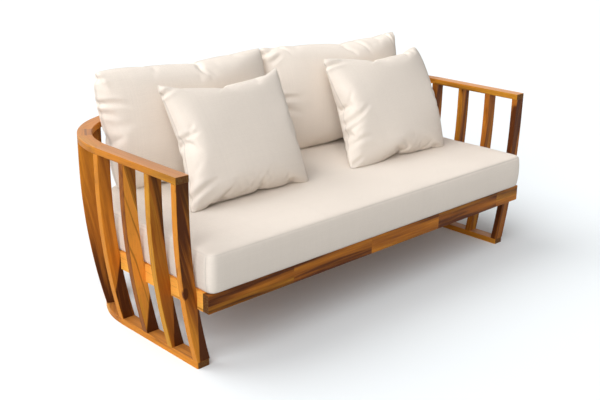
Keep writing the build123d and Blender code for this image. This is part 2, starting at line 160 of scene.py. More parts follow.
# Each leaning cushion: the middle of its seam plane, its turn and lean, its slump and taper, how far its
# left, right, top and bottom edges bulge, what is cut off its corners from the top left round, and its folds
BACK_LEAN = math.radians(6.5)
PILLOW_LEAN = math.radians(34)
LEANING = {
    "back_cushion_left": {
        "middle": (-0.339, 0.2655, 0.5930), "turn": 0.0, "lean": BACK_LEAN, "slump": -0.040, "taper": 0.045,
        "bulge": (0.010, 0.006, 0.006, 0.006), "corner_cuts": (0.050, 0.01, 0.03, 0.03),
        "folds": (
            fold((-0.350, 0.200), (-0.342, 0.150), 0.007, 0.008),
            fold((-0.356, 0.188), (-0.318, 0.196), 0.003, 0.007),
            fold((-0.362, 0.108), (-0.280, 0.094), 0.0055, 0.009, 0.006),
            fold((-0.362, 0.078), (-0.316, 0.056), 0.003, 0.009),
            fold((-0.340, 0.030), (-0.270, 0.040), 0.002, 0.014),
        ),
    },
    "back_cushion_right": {
        "middle": (0.384, 0.2515, 0.5930), "turn": math.radians(-4), "lean": BACK_LEAN, "slump": 0.036,
        "taper": 0.018, "bulge": (0.006, 0.004, 0.004, 0.006), "corner_cuts": (0.03, 0.0, 0.02, 0.03),
        "folds": (
            fold((-0.352, 0.188), (-0.270, 0.204), 0.007, 0.009, 0.008),
            fold((-0.298, 0.214), (-0.246, 0.186), 0.007, 0.007, 0.010),
            fold((-0.330, 0.160), (-0.285, 0.190), 0.004, 0.008),
            fold((-0.346, 0.020), (-0.240, 0.012), 0.007, 0.009, 0.004),
            fold((-0.344, -0.014), (-0.232, -0.048), 0.005, 0.011),
            fold((0.302, 0.212), (0.322, 0.160), 0.005, 0.008),
            fold((0.330, 0.206), (0.340, 0.166), 0.005, 0.007),
            fold((0.118, 0.200), (0.150, 0.140), 0.003, 0.010),
        ),
    },
    "throw_pillow_left": {
        "middle": (-0.336, 0.0063, 0.5784), "turn": math.radians(-1), "lean": PILLOW_LEAN, "slump": 0.125,
        "taper": 0.0, "bulge": (-0.002, 0.016, -0.010, 0.012), "corner_cuts": (0.0, 0.0, 0.0, 0.0),
        "folds": (
            fold((-0.262, 0.184), (-0.212, 0.192), 0.007, 0.008, 0.004),
            fold((-0.254, 0.034), (-0.182, 0.024), 0.005, 0.008, -0.005),
            fold((-0.262, -0.186), (-0.160, -0.144), 0.007, 0.009, 0.006),
            fold((-0.250, -0.120), (-0.206, -0.118), 0.002, 0.009),
        ),
    },
    "throw_pillow_right": {
        "middle": (0.429, -0.0087, 0.5784), "turn": math.radians(-3), "lean": PILLOW_LEAN, "slump": 0.18,
        "taper": 0.0, "bulge": (0.000, 0.030, -0.006, 0.012), "corner_cuts": (0.03, 0.045, 0.01, 0.05),
        "folds": (
            fold((-0.262, 0.194), (-0.180, 0.192), 0.007, 0.008, 0.003),
            fold((-0.256, -0.052), (-0.150, -0.004), 0.006, 0.010, -0.006),
            fold((-0.256, -0.082), (-0.170, -0.044), 0.003, 0.008, -0.004),
            fold((-0.262, -0.140), (-0.160, -0.128), 0.005, 0.010, 0.008),
            fold((-0.250, -0.206), (-0.206, -0.190), 0.004, 0.008),
        ),
    },
}


class Graph:
    """Adds nodes to a node tree and links them, with plain numbers where nothing is linked."""

    def __init__(self, tree):
        self.tree = tree

    def add(self, kind, **settings):
        node = self.tree.nodes.new(kind)
        for key, value in settings.items():
            setattr(node, key, value)
        return node

    def feed(self, socket, value):
        if isinstance(value, bpy.types.NodeSocket):
            self.tree.links.new(value, socket)
        else:
            socket.default_value = value

    def made(self, kind, values, **settings):
        node = self.add(kind, **settings)
        for socket, value in zip(node.inputs, values):
            self.feed(socket, value)
        return node.outputs

    def math(self, operation, *values):
        return self.made("ShaderNodeMath", values, operation=operation)[0]

    def plus(self, *values):
        return self.math("ADD", *values)

    def minus(self, *values):
        return self.math("SUBTRACT", *values)

    def times(self, *values):
        return self.math("MULTIPLY", *values)

    def times_plus(self, *values):
        return self.math("MULTIPLY_ADD", *values)

    def vector(self, operation, *values):
        return self.made("ShaderNodeVectorMath", values, operation=operation)[0]

    def split(self, vector):
        return self.made("ShaderNodeSeparateXYZ", (vector,))

    def join(self, *values):
        return self.made("ShaderNodeCombineXYZ", values)[0]

    def ramp(self, value, low, high, to_low=0.0, to_high=1.0):
        ends = (value, low, high, to_low, to_high)
        return self.made("ShaderNodeMapRange", ends, interpolation_type="SMOOTHSTEP")[0]

    def blend(self, factor, a, b, how="MIX"):
        node = self.add("ShaderNodeMix", data_type="RGBA", blend_type=how)
        for index, value in ((0, factor), (6, a), (7, b)):
            self.feed(node.inputs[index], value)
        return node.outputs[2]

    def mix(self, factor, a, b):
        node = self.add("ShaderNodeMix", data_type="FLOAT")
        for index, value in ((0, factor), (2, a), (3, b)):
            self.feed(node.inputs[index], value)
        return node.outputs[0]

    def stretched(self, vector, scales, detail=2.0, roughness=0.5):
        node = self.add("ShaderNodeTexNoise")
        self.feed(node.inputs["Vector"], self.vector("MULTIPLY", vector, scales))
        for label, value in (("Scale", 1.0), ("Detail", detail), ("Roughness", roughness)):
            node.inputs[label].default_value = value
        return node.outputs[0]

    def centred(self, pattern):
        return self.minus(pattern, 0.5)

    def shaded(self, colour, brightness):
        grey = self.made("ShaderNodeCombineColor", (brightness, brightness, brightness))[0]
        return self.blend(1.0, colour, grey, "MULTIPLY")

    def seen_directly(self):
        rays = self.add("ShaderNodeLightPath").outputs
        return self.math("MAXIMUM", rays["Is Camera Ray"], rays["Is Glossy Ray"])

    def chance(self, vector):
        return self.made("ShaderNodeTexWhiteNoise", (vector,), noise_dimensions="3D")[0]


def new_group(name, vectors, colours, numbers):
    """An empty shader node group with named sockets: its tree helper, its inputs and its outputs."""
    group = bpy.data.node_groups.new(name, "ShaderNodeTree")
    given = ((VECTOR, vectors), (COLOUR, colours), (NUMBER, numbers))
    for kind, labels in given:
        for label in labels:
            group.interface.new_socket(label, in_out="INPUT", socket_type=kind)
    for label, kind in (("Color", COLOUR), ("Roughness", NUMBER), ("Height", NUMBER)):
        group.interface.new_socket(label, in_out="OUTPUT", socket_type=kind)
    graph = Graph(group)
    return graph, graph.add("NodeGroupInput").outputs, graph.add("NodeGroupOutput").inputs


VECTOR = "NodeSocketVector"
COLOUR = "NodeSocketColor"
NUMBER = "NodeSocketFloat"

# How fine each pattern of the wood is along, across and through a board, in counts to the metre
EDGE_WANDER = (2.2, 9.0, 9.0)
BROAD_FIGURE = (1.5, 30.0, 22.0)
GROWTH_RINGS = (3.5, 150.0, 110.0)
KNOT_CELLS = (2.4, 11.0, 5.0)
GOLDEN_PATCHES = (1.1, 20.0, 14.0)
DARK_STREAKS = (1.2, 64.0, 48.0)
FIBRES = (16.0, 850.0, 850.0)
PORES = (42.0, 1500.0, 1500.0)
END_SPECKS = (40.0, 420.0, 160.0)

# How far a strip's edge wanders, and half the width over which its tone changes
WANDER_REACH = 0.030
EDGE_BLUR = 0.0035

# Radius within which a knot is darkest, and where it ends
KNOT_HEART = 0.004
KNOT_RIM = 0.014

# Tint of the golden patches and colour of the pale specks in the end grain
GOLDEN_TINT = (0.86, 1.16, 0.9, 1.0)
END_TONE = (0.155, 0.088, 0.032, 1.0)


def hardwood_group():
    """Glued hardwood strips: slanting strips of different tone, figure, knots, fibres and end grain, and a
    painted sheen that pales faces turned upwards.
    """
    if "Hardwood strips" in bpy.data.node_groups:
        return bpy.data.node_groups["Hardwood strips"]
    graph, given, out = new_group(
        "Hardwood strips",
        ("Place", "Facing", "Knot Place"),
        ("Light Tone", "Middle Tone", "Dark Tone", "Painted Sheen Tone"),
        ("Upward", "Fading", "Strip Width", "Slant", "Strip Edge", "First Lightness", "Second Lightness",
         "Third Lightness", "Outer Lightness", "Third Edge", "Third Slant", "Rise", "Contrast", "Figure",
         "Piece Length", "Seed"),
    )
    seed = given["Seed"]
    shift = graph.join(graph.times(seed, 3.17), graph.times(seed, 1.31), seed)
    place = graph.vector("ADD", given["Place"], shift)
    along, across, through = graph.split(given["Place"])

    # Strips that run at a slant, with wandering edges, each cut into pieces
    wander = graph.centred(graph.stretched(place, EDGE_WANDER))
    wandering = graph.times_plus(wander, WANDER_REACH, across)
    slanted = graph.times_plus(along, given["Slant"], wandering)
    past_edge = graph.minus(slanted, given["Strip Edge"])
    past_third = graph.times_plus(along, given["Third Slant"], wandering)
    past_third = graph.minus(past_third, given["Third Edge"])
    strip_number = graph.math("FLOOR", graph.math("DIVIDE", past_edge, given["Strip Width"]))
    strip_chance = graph.chance(graph.join(strip_number, seed, 0.5))
    piece = graph.times_plus(strip_chance, 5.0, graph.math("DIVIDE", along, given["Piece Length"]))
    piece_chance = graph.chance(graph.join(strip_number, graph.math("FLOOR", piece), seed))
    jump = graph.times(graph.math("FLOOR", piece), 7.3)
    wood = graph.vector("ADD", shift, graph.join(jump, 0.0, jump))
    wood = graph.vector("ADD", wood, graph.join(along, slanted, through))

    # Figure along the grain, from broad streaks to growth rings
    figure = graph.stretched(wood, BROAD_FIGURE, detail=4.0, roughness=0.6)
    rings = graph.stretched(wood, GROWTH_RINGS)
    second = graph.ramp(past_edge, -EDGE_BLUR, EDGE_BLUR)
    third = graph.ramp(past_third, -EDGE_BLUR, EDGE_BLUR)
    outer = graph.ramp(graph.split(given["Facing"])[1], -0.5, -0.75)
    tone = graph.mix(second, given["First Lightness"], given["Second Lightness"])
    tone = graph.mix(third, tone, given["Third Lightness"])
    tone = graph.times_plus(along, given["Rise"], tone)
    tone = graph.mix(outer, tone, given["Outer Lightness"])
    for pattern, strength in ((piece_chance, given["Contrast"]), (figure, given["Figure"]), (rings, 0.35)):
        tone = graph.times_plus(graph.centred(pattern), strength, tone)

    # Knots, a few by chance and one where it is asked for
    knots = graph.add("ShaderNodeTexVoronoi")
    graph.feed(knots.inputs["Vector"], graph.vector("MULTIPLY", place, KNOT_CELLS))
    knots.inputs["Scale"].default_value = 1.0
    knot = graph.ramp(knots.outputs["Distance"], 0.16, 0.05)
    rare = graph.math("GREATER_THAN", graph.split(knots.outputs["Color"])[0], 0.8)
    knot = graph.times(knot, rare)
    near = graph.vector("SUBTRACT", given["Place"], given["Knot Place"])
    near = graph.vector("MULTIPLY", near, (0.6, 1.0, 1.0))
    near = graph.vector("ADD", near, graph.join(0.0, graph.times(wander, 0.02), 0.0))
    reach = graph.add("ShaderNodeVectorMath", operation="LENGTH")
    graph.feed(reach.inputs[0], near)
    knot = graph.math("MAXIMUM", knot, graph.ramp(reach.outputs["Value"], KNOT_RIM, KNOT_HEART))
    tone = graph.times_plus(knot, -0.8, tone)

    # Colours, with golden patches and dark streaks
    colour = graph.blend(graph.ramp(tone, 0.10, 0.46), given["Dark Tone"], given["Middle Tone"])
    colour = graph.blend(graph.ramp(tone, 0.40, 0.88), colour, given["Light Tone"])
    golden = graph.ramp(graph.stretched(wood, GOLDEN_PATCHES, detail=1.0), 0.50, 0.68, 0.0, 0.6)
    colour = graph.blend(golden, colour, GOLDEN_TINT, "MULTIPLY")
    streak = graph.ramp(graph.stretched(wood, DARK_STREAKS), 0.60, 0.72, 0.0, 0.55)
    colour = graph.blend(streak, colour, given["Dark Tone"])
    fibre = graph.stretched(place, FIBRES, detail=1.0)
    colour = graph.shaded(colour, graph.ramp(fibre, 0.25, 0.75, 0.93, 1.05))
    pore = graph.ramp(graph.stretched(place, PORES, detail=0.0), 0.66, 0.74)
    colour = graph.blend(graph.times(pore, 0.25), colour, given["Dark Tone"])
    # Painted sheen: faces turned upwards are paled towards a lighter tone, standing in for the sky light that
    # they reflect
    blend_in = graph.times(graph.ramp(given["Upward"], 0.6, 0.95), given["Fading"])
    blend_in = graph.times(blend_in, graph.ramp(figure, 0.2, 0.8, 0.7, 1.2))
    colour = graph.blend(blend_in, colour, given["Painted Sheen Tone"])

    # End grain
    end = graph.ramp(graph.math("ABSOLUTE", graph.split(given["Facing"])[0]), 0.72, 0.9)
    speck = graph.stretched(place, END_SPECKS)
    end_colour = graph.blend(graph.ramp(speck, 0.3, 0.75), given["Dark Tone"], END_TONE)
    colour = graph.blend(graph.times(end, 0.92), colour, end_colour)
    graph.feed(out["Color"], colour)
    rough = graph.times_plus(figure, 0.16, 0.36)
    graph.feed(out["Roughness"], graph.times_plus(end, 0.18, rough))
    height = graph.minus(graph.times(fibre, 0.5), pore)
    graph.feed(out["Height"], graph.minus(height, knot))
    return graph.tree


# How fine the cloth's thick places are across and along its threads, and its faint unevenness
SLUBS = (40.0, 420.0, 1.0)
CLOUDS = (7.0, 7.0, 7.0)


def weave_group():
    """Plain-woven cloth: over-and-under threads, slubs, a faint unevenness and painted shade along the seams.
    """
    if "Plain weave" in bpy.data.node_groups:
        return bpy.data.node_groups["Plain weave"]
    graph, given, out = new_group(
        "Plain weave", ("Place", "Facing"), ("Cloth Tone", "Shade Tone"), ("Thread Pitch", "Seam"))
    x, y, z = graph.split(given["Place"])
    facing_x, facing_y, facing_z = (graph.math("ABSOLUTE", s) for s in graph.split(given["Facing"]))
    side = graph.math("GREATER_THAN", facing_x, graph.math("MAXIMUM", facing_y, facing_z))
    level = graph.math("GREATER_THAN", facing_y, graph.math("MAXIMUM", facing_x, facing_z))
    across, up = graph.mix(side, x, z), graph.mix(level, y, z)
    warp, weft = (graph.math("DIVIDE", run, given["Thread Pitch"]) for run in (across, up))
    warp_arch, weft_arch = (
        graph.math("SINE", graph.times(graph.math("FRACT", run), math.pi)) for run in (warp, weft))
    warp_number, weft_number = (graph.math("FLOOR", run) for run in (warp, weft))
    both = graph.plus(warp_number, weft_number)
    over = graph.math("GREATER_THAN", graph.math("FRACT", graph.times(both, 0.5)), 0.25)
    warp_top = graph.times(graph.math("POWER", warp_arch, 0.45), weft_arch)
    weft_top = graph.times(graph.math("POWER", weft_arch, 0.45), warp_arch)
    thread = graph.times(warp_top, over)
    thread = graph.plus(thread, graph.times(weft_top, graph.minus(1.0, over)))
    warp_chance = graph.chance(graph.join(warp_number, 3.0, over))
    weft_chance = graph.chance(graph.join(weft_number, 8.0, over))
    slub = graph.stretched(graph.join(across, up, 0.0), SLUBS)
    cloud = graph.stretched(given["Place"], CLOUDS)
    bright = graph.times_plus(graph.plus(warp_chance, weft_chance), 0.045, 0.90)
    # The seam mark darkens the cloth: painted shade along the sewn seams
    for pattern, strength in ((slub, 0.06), (cloud, 0.05), (given["Seam"], -0.20)):
        bright = graph.times_plus(pattern, strength, bright)
    colour = graph.blend(graph.ramp(thread, 0.0, 0.55), given["Shade Tone"], given["Cloth Tone"])
    colour = graph.blend(0.45, colour, given["Cloth Tone"])
    graph.feed(out["Color"], graph.shaded(colour, bright))
    graph.feed(out["Roughness"], graph.times_plus(thread, -0.08, 0.93))
    graph.feed(out["Height"], graph.times_plus(slub, 0.8, thread))
    return graph.tree


# How fine the plating's crystals and its rubbed marks are
SPANGLES = (900.0, 900.0, 900.0)
RUBBED_MARKS = (240.0, 240.0, 2400.0)


def plating_group():
    """Zinc plating: a fine spangle in tone and gloss."""
    if "Zinc plating" in bpy.data.node_groups:
        return bpy.data.node_groups["Zinc plating"]
    graph, given, out = new_group("Zinc plating", ("Place",), ("Plate Tone",), ())
    spangle = graph.stretched(given["Place"], SPANGLES)
    rubbed = graph.stretched(given["Place"], RUBBED_MARKS, detail=1.0)
    bright = graph.times_plus(spangle, 0.3, 0.82)
    graph.feed(out["Color"], graph.shaded(given["Plate Tone"], bright))
    graph.feed(out["Roughness"], graph.times_plus(spangle, 0.2, 0.28))
    graph.feed(out["Height"], rubbed)
    return graph.tree


def new_material(name):
    """A material with a bare Principled shader, and its tree helper."""
    material = bpy.data.materials.new(name)
    material.use_nodes = True
    tree = material.node_tree
    tree.nodes.clear()
    graph = Graph(tree)
    shader = graph.add("ShaderNodeBsdfPrincipled")
    output = graph.add("ShaderNodeOutputMaterial")
    tree.links.new(shader.outputs[0], output.inputs[0])
    return material, graph, shader


def local_place(graph, turn, middle):
    """Places and normals from a piece's middle, turned to run along it, and how far a face turns up."""
    source = graph.add("ShaderNodeTexCoord")
    place = graph.add("ShaderNodeMapping", vector_type="TEXTURE")
    place.inputs["Location"].default_value = middle
    place.inputs["Rotation"].default_value = turn
    facing = graph.add("ShaderNodeMapping", vector_type="TEXTURE")
    facing.inputs["Rotation"].default_value = turn
    graph.feed(place.inputs["Vector"], source.outputs["Object"])
    graph.feed(facing.inputs["Vector"], source.outputs["Normal"])
    return place.outputs[0], facing.outputs[0], graph.split(source.outputs["Normal"])[2]


def finish_with(graph, shader, group, bump_depth, **values):
    """Puts a group in a material, sets its sockets and feeds what it gives to the shader."""
    effect = graph.add("ShaderNodeGroup")
    effect.node_tree = group
    for label, value in values.items():
        graph.feed(effect.inputs[label.replace("_", " ").title()], value)
    graph.feed(shader.inputs["Base Color"], effect.outputs["Color"])
    graph.feed(shader.inputs["Roughness"], effect.outputs["Roughness"])
    bump = graph.add("ShaderNodeBump")
    bump.inputs["Distance"].default_value = bump_depth
    bump.inputs["Strength"].default_value = 0.6
    graph.feed(bump.inputs["Height"], effect.outputs["Height"])
    graph.feed(shader.inputs["Normal"], bump.outputs[0])


def opaque(colour):
    return (*colour, 1.0)


def grain_turn(along, across):
    """The turn of a frame whose X runs along a board and whose Y runs across its face."""
    along = Vector(along).normalized()
    across = Vector(across).normalized()
    return Matrix((along, across, along.cross(across))).transposed().to_euler("XYZ")


# How deep the bumps of each finish are
GRAIN_DEPTH = 0.0003
WEAVE_DEPTH = 0.0004
PLATING_DEPTH = 0.00005

# A board of one tone: a place or an edge at 9 m lies outside every board
PLAIN_WOOD = {
    "slant": 0.0, "strip_edge": 0.0, "third_slant": 0.0, "third_edge": 9.0, "outer_lightness": 0.7,
    "first_lightness": 0.6, "second_lightness": 0.6, "third_lightness": 0.6,
    "contrast": 0.3, "piece_length": 9.0, "strip_width": 0.05, "figure": 1.3, "rise": 0.0, "fading": 0.0,
    "knot_place": (9.0, 9.0, 9.0), "seed": 0.0,
}


def wood_material(name, along, across, origin, **tones):
    """The hardwood finish of one board, from the way of its grain and where its strips are counted from."""
    wood = bpy.context.scene.loveseat_wood
    material, graph, shader = new_material("Wood " + name)
    place, facing, upward = local_place(graph, grain_turn(along, across), origin)
    values = {
        **PLAIN_WOOD, "light_tone": opaque(wood.light_tone), "middle_tone": opaque(wood.middle_tone),
        "dark_tone": opaque(wood.dark_tone), "painted_sheen_tone": opaque(wood.painted_sheen_tone), **tones}
    finish_with(
        graph, shader, hardwood_group(), GRAIN_DEPTH, place=place, facing=facing, upward=upward, **values)
    shader.inputs["Specular IOR Level"].default_value = wood.gloss
    return material


# Painted light and shade on each cover: how much lighter or darker its cloth is made than the cloth's own
# colour, for the light it gets
COVER_PAINTED_LIGHT = {
    "seat_cushion": 1.0, "back_cushion_left": 1.07, "back_cushion_right": 1.06,
    "throw_pillow_left": 0.965, "throw_pillow_right": 0.95,
}


def cloth_material(body, turn, middle):
    """The cream cloth, its threads square to one cushion."""
    cloth = bpy.context.scene.loveseat_cloth
    # Each cover's cloth is lightened or darkened as painted light and shade
    cloth_tone = opaque(cloth.cloth_tone * COVER_PAINTED_LIGHT[body])
    shade_tone = opaque(cloth.shade_tone * COVER_PAINTED_LIGHT[body])
    material, graph, shader = new_material("Cloth " + body)
    place, facing, _ = local_place(graph, turn, middle)
    seam = graph.add("ShaderNodeAttribute", attribute_name="seam")
    finish_with(
        graph, shader, weave_group(), WEAVE_DEPTH,
        place=place, facing=facing, cloth_tone=cloth_tone, shade_tone=shade_tone,
        thread_pitch=cloth.thread_pitch, seam=seam.outputs["Fac"])
    shader.inputs["Sheen Weight"].default_value = 0.12
    shader.inputs["Sheen Roughness"].default_value = 0.5
    shader.inputs["Specular IOR Level"].default_value = 0.25
    return material


def plated_material(name, tone):
    """Zinc-plated steel for the bolts and screws."""
    material, graph, shader = new_material(name)
    place = graph.add("ShaderNodeTexCoord").outputs["Object"]
    finish_with(graph, shader, plating_group(), PLATING_DEPTH, place=place, plate_tone=opaque(tone))
    shader.inputs["Metallic"].default_value = 1.0
    return material


def dress(piece, material):
    """Gives a piece one material."""
    piece.data.materials.clear()
    piece.data.materials.append(material)


def middle_of(node):
    low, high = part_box(node)
    return (low + high) / 2


# Where the rear corners' arcs have their middle: this far from the middle plane, and this far back
CORNER_RADIUS = 0.375
CORNER_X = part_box("arm_rail_right")[1].x - CORNER_RADIUS
CORNER_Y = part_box("back_rail")[1].y - CORNER_RADIUS


def strips(slant, edge, width, first, second, third, contrast, seed, **more):
    """Names the tones of one board's strips."""
    return {
        "slant": slant, "strip_edge": edge, "strip_width": width, "first_lightness": first,
        "second_lightness": second, "third_lightness": third, "contrast": contrast, "seed": seed,
        "third_slant": slant, "third_edge": edge + width, **more,
    }


# Slats with tones of their own: the slant, edge and width of their strips, the lightness of three strips, the
# contrast between pieces and a seed. Strips are counted inwards from the outer edge of the slat's head.
SLAT_WOOD = {
    "side_slat_left_1": strips(
        0.276, 0.166, 0.09, 1.10, 1.16, 0.30, 0.1, 0.7, rise=-1.95, third_slant=0.0, third_edge=0.067,
        outer_lightness=0.95, knot_place=(0.262, 0.019, -0.012)),
    "side_slat_left_2": strips(
        0.22, 0.133, 0.080, 0.50, 0.06, 0.10, 0.1, 1.9, rise=0.15, third_slant=0.0, third_edge=0.076,
        outer_lightness=0.78, light_tone=(0.58, 0.26, 0.024, 1.0)),
    "side_slat_left_3": strips(
        0.26, 0.166, 0.120, 0.72, 0.10, 0.05, 0.1, 3.1, rise=0.7, figure=0.8,
        light_tone=(0.80, 0.32, 0.045, 1.0), third_slant=-0.10, third_edge=0.062,
        outer_lightness=0.34),
    "side_slat_left_4": strips(
        0.16, 0.110, 0.080, 0.72, 0.50, 0.14, 0.1, 4.4, third_slant=-0.195, third_edge=0.020,
        outer_lightness=0.88),
    "corner_slat_left_1": strips(
        0.15, 0.090, 0.060, -0.10, -0.02, 0.0, 0.2, 5.2, rise=1.35, outer_lightness=0.62),
    "corner_slat_left_2": strips(0.15, 0.080, 0.050, 0.45, 0.60, 0.50, 0.2, 6.3),
    # side_slat_right_1's second and third strips are lighter as painted sheen, over the wood's own tone
    "side_slat_right_1": strips(0.20, 0.100, 0.060, 0.50, 0.26, 0.60, 0.1, 2.2),
    "side_slat_right_2": strips(0.15, 0.090, 0.060, 0.55, 0.48, 0.60, 0.1, 3.7),
    "side_slat_right_3": strips(0.12, 0.095, 0.020, 0.25, 0.60, 0.22, 0.1, 4.9),
    "side_slat_right_4": strips(0.16, 0.090, 0.060, 0.40, 0.30, 0.50, 0.1, 5.8),
}


def even(lightness, **more):
    """Names the tones of a board whose strips are all as light."""
    return {"first_lightness": lightness, "second_lightness": lightness, "third_lightness": lightness, **more}


# The seat's front rail is glued up from whole blocks, and its side rails are light all over, their light tone
# raised past the wood's own as painted light where the slats shade them
FRONT_RAIL_WOOD = even(
    0.37, strip_edge=-0.4, strip_width=1.0, contrast=0.28, seed=1.3, figure=2.1, piece_length=0.37)
SEAT_SIDE_WOOD = even(
    1.0, strip_edge=0.04, contrast=0.1, figure=0.6, outer_lightness=1.0, light_tone=(0.98, 0.44, 0.08, 1.0))

# How much painted sheen pales the upper faces of the rails, and rails with tones of their own
RAIL_PAINTED_SHEEN = {
    "arm_rail": 0.42, "back_rail": 0.42, "corner_rail": 0.24, "base_rail": 0.08, "base_corner": 0.08}
RAIL_WOOD = {
    "arm_rail_right": even(0.95),
    # The far base rail's top gets more painted sheen
    "base_rail_right": {"fading": 0.45},
    "corner_rail_left_2": even(0.46, figure=1.7),
    "corner_rail_right_2": even(0.50),
}

# The seat frame's boards: the way of their grain, the way across their strips and tones of their own. Where
# no way is given, the grain runs round the corner.
SEAT_FRAME_WOOD = {
    "seat_front": (WIDE, HIGH, FRONT_RAIL_WOOD),
    "seat_back": (WIDE, HIGH, {}),
    "seat_side": (DEEP, HIGH, SEAT_SIDE_WOOD),
    "seat_corner": (None, None, {}),
    "corner_block": (None, None, {}),
    "seat_slat": (WIDE, DEEP, {}),
    "side_ledger": (DEEP, WIDE, {}),
    "cross_bearer": (DEEP, WIDE, {}),
    "rail_dowels": (HIGH, WIDE, even(0.9, seed=0.0)),
}


def kind_of(name):
    """What the boards of one kind have in common in their names."""
    return "_".join(name.split("_")[:2])


def outward_of(name, middle):
    """The horizontal way out of the frame at the middle of a side, corner or back piece."""
    if abs(middle.x) <= CORNER_X:
        return DEEP
    side = math.copysign(1.0, middle.x)
    if middle.y <= CORNER_Y or "side" in name or "arm" in name:
        return WIDE * side
    return Vector((middle.x - side * CORNER_X, middle.y - CORNER_Y, 0.0)).normalized()


def boards(*beginnings):
    """The wooden nodes whose names begin so, with a number of their own."""
    for number, name in enumerate(sorted(NODES)):
        if name.startswith(beginnings):
            yield number, name, middle_of(name)


class LOVESEAT_OT_finish_rails(Operator):
    """Finish the rails of the top ring and the bases, grain along each block"""
    bl_idname = "loveseat.finish_rails"
    bl_label = "Finish rails"

    def execute(self, context):
        for number, name, middle in boards(*RAIL_PAINTED_SHEEN):
            outward = outward_of(name, middle)
            along = outward.cross(HIGH)
            tones = even(
                0.66, contrast=0.12, strip_edge=-0.035, strip_width=0.07, figure=0.8,
                fading=RAIL_PAINTED_SHEEN[kind_of(name)], seed=0.37 + number * 0.61)
            tones.update(RAIL_WOOD.get(name, {}))
            dress(NODES[name], wood_material(name, along, outward, middle, **tones))
        return {"FINISHED"}


class LOVESEAT_OT_finish_slats(Operator):
    """Finish the side, corner and back slats, grain upright with slanting strips"""
    bl_idname = "loveseat.finish_slats"
    bl_label = "Finish slats"

    def execute(self, context):
        for number, name, middle in boards("side_slat", "corner_slat", "back_slat"):
            outward = outward_of(name, middle)
            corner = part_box(name)[1] if outward.x > 0.99 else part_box(name)[0]
            if abs(outward.x) > 0.99:
                origin = Vector((corner.x, middle.y, 0.0))
            elif outward.x == 0:
                origin = Vector((middle.x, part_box(name)[1].y, 0.0))
            else:
                corner_middle = Vector((math.copysign(CORNER_X, middle.x), CORNER_Y, 0.0))
                origin = corner_middle + outward * CORNER_RADIUS
            plain = strips(0.12, 0.06, 0.07, 0.58, 0.46, 0.60, 0.3, 0.9 + number * 0.43)
            tones = SLAT_WOOD.get(name, plain)
            dress(NODES[name], wood_material(name, HIGH, -outward, origin, **tones))
        return {"FINISHED"}


class LOVESEAT_OT_finish_seat_frame(Operator):
    """Finish the seat frame, the bearers, the ledgers and the seat slats"""
    bl_idname = "loveseat.finish_seat_frame"
    bl_label = "Finish seat frame"

    def execute(self, context):
        for number, name, middle in boards(*SEAT_FRAME_WOOD):
            along, across, tones = SEAT_FRAME_WOOD[kind_of(name)]
            if along is None:
                across = outward_of("", middle)
                along = across.cross(HIGH)
            bottom = Vector((0.0, 0.0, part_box(name)[0].z))
            origin = bottom if across == HIGH else middle
            tones = {"seed": 0.21 + number * 0.53, **tones}
            dress(NODES[name], wood_material(name, along, across, origin, **tones))
        return {"FINISHED"}


class LOVESEAT_OT_finish_fasteners(Operator):
    """Finish the bolts and the screws"""
    bl_idname = "loveseat.finish_fasteners"
    bl_label = "Finish bolts and screws"

    def execute(self, context):
        dress(NODES["seat_bolts"], plated_material("Zinc bolts", (0.62, 0.62, 0.63)))
        dress(NODES["slat_screws"], plated_material("Zinc screws", (0.66, 0.60, 0.44)))
        return {"FINISHED"}


def seam_plane(name):
    """The matrix of a leaning cushion's seam plane: local X across, local Y up its face, local Z forwards."""
    spot = LEANING[name]
    upright = Matrix.Rotation(math.pi / 2, 4, "X")
    lean = Matrix.Rotation(-spot["lean"], 4, "X")
    turn = Matrix.Rotation(spot["turn"], 4, "Z")
    return Matrix.Translation(spot["middle"]) @ turn @ lean @ upright


# Before they are filled, the two layers of a cover stand this far from the seam's plane next to its edge
LAYER_GAP = 0.002
# A place this close to the edge, as a share, is on it. The higher the power, the smaller a cut corner.
EDGE_SHARE = 0.9999
CORNER_POWER = 6


def envelope(form):
    """Two layers of cloth sewn together round their edge, with the sewn edges marked."""
    width, height = form["cut"]
    cell = form["cell"]
    left, right, top, bottom = form["bulge"]
    top_left, top_right, bottom_right, bottom_left = form["corner_cuts"]
    bm = bmesh.new()
    bmesh.ops.create_grid(bm, x_segments=round(width / cell), y_segments=round(height / cell), size=1.0)
    for vert in bm.verts:
        x, y = vert.co.x, vert.co.y
        if x > 0:
            corner = top_right if y > 0 else bottom_right
        else:
            corner = top_left if y > 0 else bottom_left
        clipped = 1 - corner * (x * y) ** CORNER_POWER
        sideways = right if x > 0 else left
        upward = top if y > 0 else bottom
        vert.co = Vector((
            x * (width / 2 + sideways * (1 - y * y)) * clipped,
            y * (height / 2 + upward * (1 - x * x)) * clipped,
            crown(form, x, y) * form["first_fill"] + LAYER_GAP,
        ))
        if max(abs(x), abs(y)) > EDGE_SHARE:
            vert.co.z = 0.0
    copy = bmesh.ops.duplicate(bm, geom=bm.verts[:] + bm.edges[:] + bm.faces[:])["geom"]
    bmesh.ops.reverse_faces(bm, faces=[f for f in copy if isinstance(f, bmesh.types.BMFace)])
    for vert in copy:
        if isinstance(vert, bmesh.types.BMVert):
            vert.co.z *= -form["rear"] / form["front"]
    bmesh.ops.remove_doubles(bm, verts=bm.verts, dist=cell / 100)
    sewn = bm.edges.layers.int.new("sewn")
    for edge in bm.edges:
        edge[sewn] = int(all(abs(v.co.z) < LAYER_GAP / 1000 for v in edge.verts))
    return bm


def crown(form, x, y):
    """The height of an evenly filled cushion's face over a point given in shares of its half sizes."""
    square = form["squareness"]
    return form["front"] * math.sqrt(max(1 - abs(x) ** square, 0) * max(1 - abs(y) ** square, 0))


# How the cloth simulation runs
STEPS_PER_FRAME = 6
VERTEX_MASS = 0.3
AIR_DAMPING = 4.0


